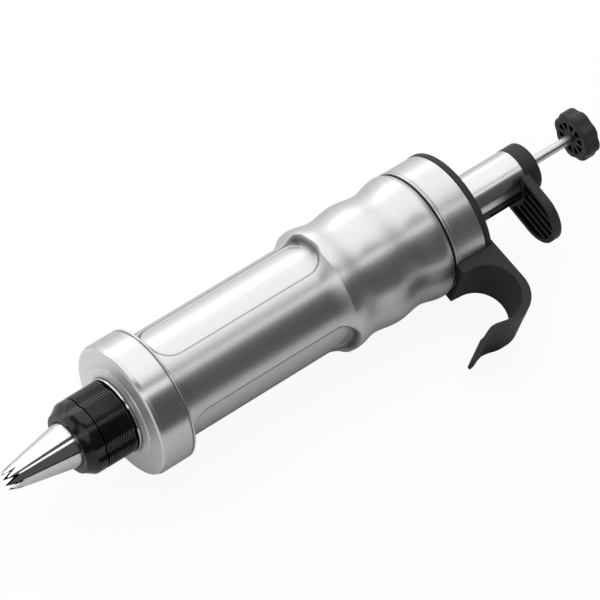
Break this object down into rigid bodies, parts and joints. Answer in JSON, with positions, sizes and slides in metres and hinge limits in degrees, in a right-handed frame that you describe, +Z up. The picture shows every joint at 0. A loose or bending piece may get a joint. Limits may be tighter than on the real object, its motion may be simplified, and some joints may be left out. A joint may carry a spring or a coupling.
{
  "type": "pastry syringe",
  "caption": "Steel syringe for icing and dough with a wavy grip, finger hook, thumb trigger on the rod, lobed knob and screw-on star nozzle.",
  "frame": {"origin": "on the syringe's axis, at the front mouth of the barrel, inside the front cap", "axes": "+X along the syringe's axis from the nozzle to the knob, +Z up with the syringe lying on its side as in the picture, the finger hook pointing towards -Y and 16 degrees below level"},
  "size_m": [0.3116, 0.0925, 0.061],
  "materials": {
    "brushed_steel": "fine brushed, satin",
    "polished_steel": "polished",
    "inner_steel": "smooth",
    "spring_steel": "plain wire and plate",
    "black_plastic": "satin",
    "guide_plastic": "satin",
    "nut_plastic": "glossy",
    "bush_plastic": "smooth",
    "seal_silicone": "matte",
    "piston_metal": "smooth",
    "brass_insert": "plain"
  },
  "bodies": {
    "barrel": {"barrel_shell": "brushed_steel", "barrel_liner": "inner_steel", "mouth_ring": "brushed_steel", "stop_plate": "inner_steel", "stop_bush": "bush_plastic", "cover_screws": "spring_steel", "collar_band": "brushed_steel", "rear_cover": "black_plastic", "rear_tube": "brushed_steel", "guide_housing": "guide_plastic", "end_cap": "black_plastic", "end_bush": "bush_plastic", "lock_spring": "spring_steel", "return_spring": "spring_steel"},
    "trigger": {"trigger": "black_plastic", "trigger_carriage": "bush_plastic", "trigger_pin": "spring_steel"},
    "grip": {"grip_plate": "spring_steel"},
    "lock": {"lock_plate": "spring_steel"},
    "plunger": {"piston_front": "piston_metal", "piston_seal": "seal_silicone", "piston_rear": "piston_metal", "piston_screws": "spring_steel"},
    "rod": {"rod": "polished_steel", "knob": "black_plastic", "knob_insert": "brass_insert"},
    "seal": {"cap_seal": "seal_silicone"},
    "cap": {"front_cap": "brushed_steel", "neck_fitting": "polished_steel"},
    "nozzle": {"nozzle": "polished_steel", "nozzle_washer": "seal_silicone"},
    "nut": {"nozzle_nut": "nut_plastic"}
  },
  "joints": [
    {"name": "plunger_slide", "type": "slide", "parent": "barrel", "child": "plunger", "axis": [-1, 0, 0], "range_m": [-0.112, 0.024]},
    {"name": "rod_turn", "type": "hinge", "parent": "plunger", "child": "rod", "pos_m": [0, 0, 0], "axis": [1, 0, 0], "continuous": true},
    {"name": "trigger_slide", "type": "slide", "parent": "barrel", "child": "trigger", "axis": [-1, 0, 0], "range_m": [0, 0.014], "stiffness_N_per_m": 250, "springref_m": -0.005, "deforming": ["return_spring"]},
    {"name": "grip_tilt", "type": "hinge", "parent": "trigger", "child": "grip", "pos_m": [0.1978, -0.00423, -0.00121], "axis": [0, 0.2756, -0.9613], "range_deg": [0, 4], "stiffness_Nm_per_rad": 0.01, "springref_deg": -2.86},
    {"name": "lock_tilt", "type": "hinge", "parent": "barrel", "child": "lock", "pos_m": [0.2102, 0.00711, 0.00204], "axis": [0, 0.2756, -0.9613], "range_deg": [0, 6.5], "stiffness_Nm_per_rad": 0.01, "springref_deg": -2.86},
    {"name": "cap_off", "type": "slide", "parent": "barrel", "child": "seal", "axis": [-1, 0, 0], "range_m": [0, 0.0121]},
    {"name": "cap_turn", "type": "hinge", "parent": "seal", "child": "cap", "pos_m": [0, 0, 0], "axis": [-1, 0, 0], "range_deg": [0, 540]},
    {"name": "nozzle_off", "type": "slide", "parent": "cap", "child": "nozzle", "axis": [-1, 0, 0], "range_m": [0, 0.0121]},
    {"name": "nut_turn", "type": "hinge", "parent": "nozzle", "child": "nut", "pos_m": [0, 0, 0], "axis": [-1, 0, 0], "range_deg": [0, 720]}
  ],
  "couplings": [
    {"joint": "cap_off", "follows": "cap_turn", "m_per_rad": 0.0012732},
    {"joint": "nozzle_off", "follows": "nut_turn", "m_per_rad": 0.00095493}
  ]
}
